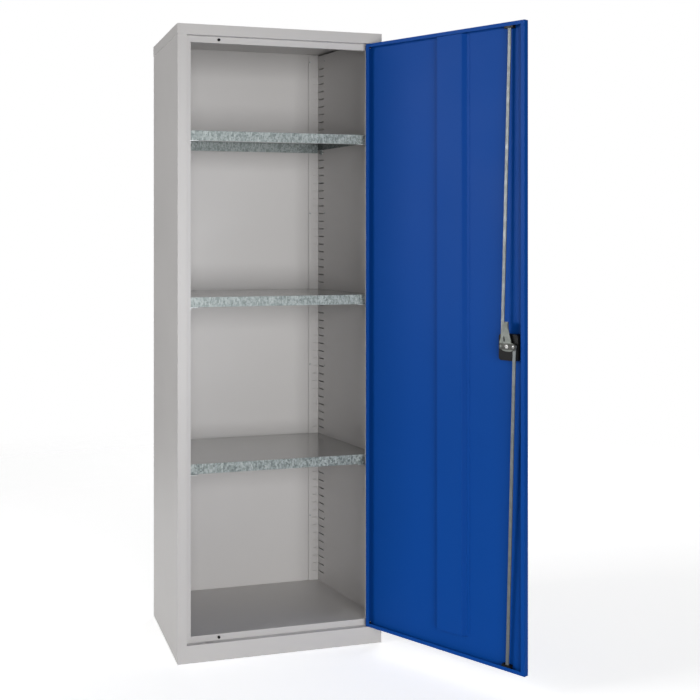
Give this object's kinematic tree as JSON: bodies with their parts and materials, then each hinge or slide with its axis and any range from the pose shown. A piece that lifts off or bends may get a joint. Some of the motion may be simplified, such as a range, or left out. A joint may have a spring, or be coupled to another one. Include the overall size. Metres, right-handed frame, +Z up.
{
  "type": "storage locker",
  "caption": "Tall sheet-metal storage cupboard with a side-hinged leaf, adjustable shelves and a three-point lock worked by a turn knob.",
  "frame": {"origin": "middle of the cupboard's footprint on the floor, the open leaf not counted", "axes": "+X to the right seen from the front, +Y to the rear, +Z up"},
  "size_m": [0.8424, 0.9088, 1.8],
  "materials": {
    "grey_powder_coat": "fine satin powder coat",
    "blue_powder_coat": "fine satin powder coat",
    "galvanised_sheet": "spangled zinc coating",
    "zinc_steel": "zinc plated",
    "dark_steel": "blackened",
    "black_plastic": "moulded, fine texture",
    "black_rubber": "matt",
    "barrel_metal": "polished"
  },
  "bodies": {
    "carcass": {"left_side_panel": "grey_powder_coat", "right_side_panel": "grey_powder_coat", "back_panel": "grey_powder_coat", "top_cap": "grey_powder_coat", "header_rail": "grey_powder_coat", "plinth_rail": "grey_powder_coat", "floor_pan": "grey_powder_coat", "left_lining": "grey_powder_coat", "right_lining": "grey_powder_coat", "lining_rivets": "zinc_steel", "shelf_lower": "galvanised_sheet", "shelf_middle": "galvanised_sheet", "shelf_upper": "galvanised_sheet", "front_clips": "zinc_steel", "rear_clips": "zinc_steel", "door_buffers": "black_rubber", "upper_pivot": "zinc_steel", "lower_pivot": "zinc_steel"},
    "leaf": {"door_panel": "blue_powder_coat", "door_stiffener": "blue_powder_coat", "upper_bush": "black_plastic", "lower_bush": "black_plastic", "handle_dish": "black_plastic", "upper_guide": "black_plastic", "lower_guide": "black_plastic"},
    "lock_cam": {"turn_knob": "black_plastic", "spindle": "zinc_steel", "tongue_plate": "zinc_steel", "cam_bar": "dark_steel", "link_pins": "zinc_steel", "spindle_nut": "zinc_steel"},
    "key": {"key_barrel": "barrel_metal"},
    "rod_up": {"upper_rod": "zinc_steel"},
    "rod_down": {"lower_rod": "zinc_steel"}
  },
  "joints": [
    {"name": "leaf_hinge", "type": "hinge", "parent": "carcass", "child": "leaf", "pos_m": [0.27, -0.21, 0.9], "axis": [0, 0, 1], "range_deg": [-118.9, 3.1]},
    {"name": "lock_turn", "type": "hinge", "parent": "leaf", "child": "lock_cam", "pos_m": [0.49462, -0.65827, 0.912], "axis": [0.8755, 0.4833, 0], "range_deg": [0, 90]},
    {"name": "key_turn", "type": "hinge", "parent": "lock_cam", "child": "key", "pos_m": [0.49462, -0.65827, 0.912], "axis": [0.8755, 0.4833, 0], "range_deg": [0, 90]},
    {"name": "upper_rod_link", "type": "hinge", "parent": "lock_cam", "child": "rod_up", "pos_m": [0.48529, -0.64138, 0.912], "axis": [0.8755, 0.4833, 0], "range_deg": [-92, 0]},
    {"name": "lower_rod_link", "type": "hinge", "parent": "lock_cam", "child": "rod_down", "pos_m": [0.50394, -0.67517, 0.912], "axis": [0.8755, 0.4833, 0], "range_deg": [-92, 0]}
  ],
  "couplings": [
    {"joint": "upper_rod_link", "follows": "lock_turn", "ratio": -1.0123},
    {"joint": "lower_rod_link", "follows": "lock_turn", "ratio": -1.0118}
  ]
}
